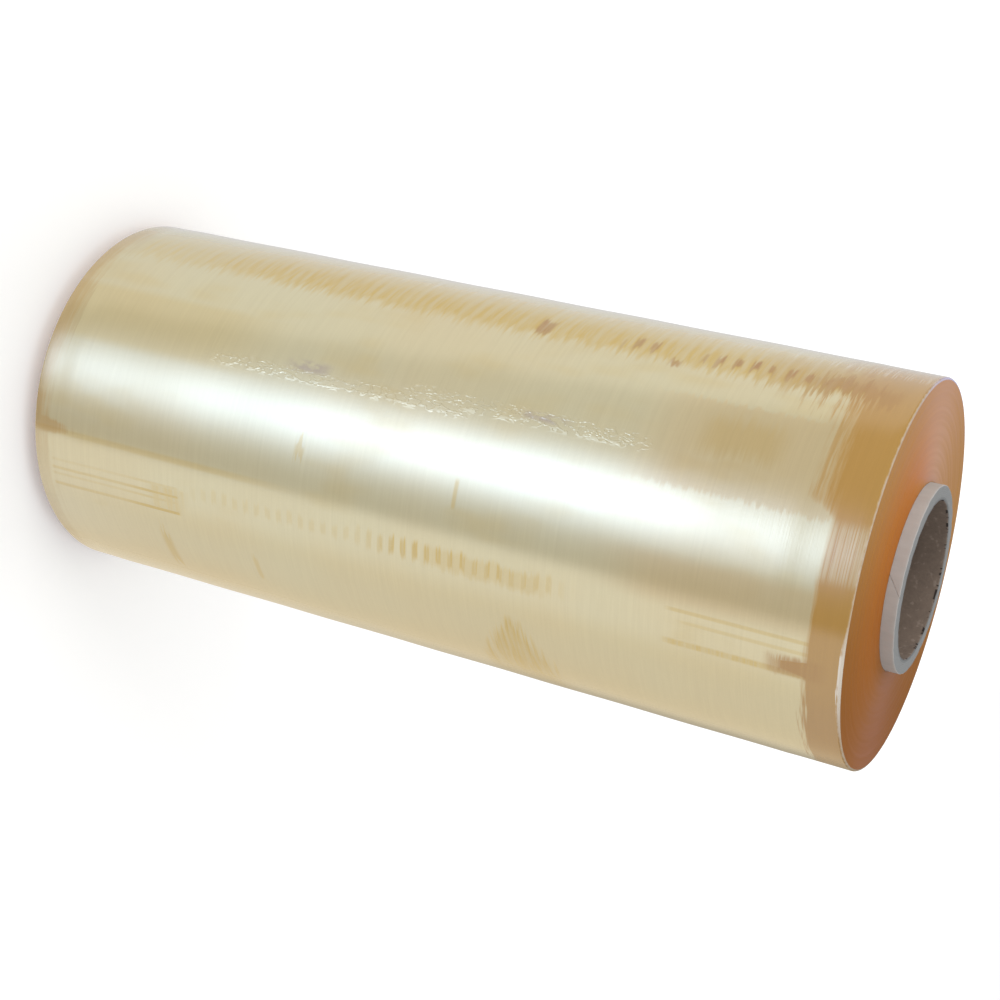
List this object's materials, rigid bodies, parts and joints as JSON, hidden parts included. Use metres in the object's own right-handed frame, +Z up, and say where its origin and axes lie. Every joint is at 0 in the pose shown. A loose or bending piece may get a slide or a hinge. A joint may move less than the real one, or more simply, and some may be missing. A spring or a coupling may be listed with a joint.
{
  "type": "cling film roll",
  "caption": "Wide roll of clear food film wound tightly on a paperboard core tube that stands out at both ends; it stands on its end.",
  "frame": {"origin": "centre of the core tube's lower end, on the roll's axis, where it stands", "axes": "+Z up along the roll's axis, towards the end that the picture shows"},
  "size_m": [0.1284, 0.1284, 0.3114],
  "materials": {
    "film": "glossy, pale honey, streaked where the turns stick together",
    "paperboard": "matt, grey-white liner outside and brown grey board inside"
  },
  "bodies": {
    "root": {"film_winding": "film", "core_tube": "paperboard"}
  },
  "joints": []
}
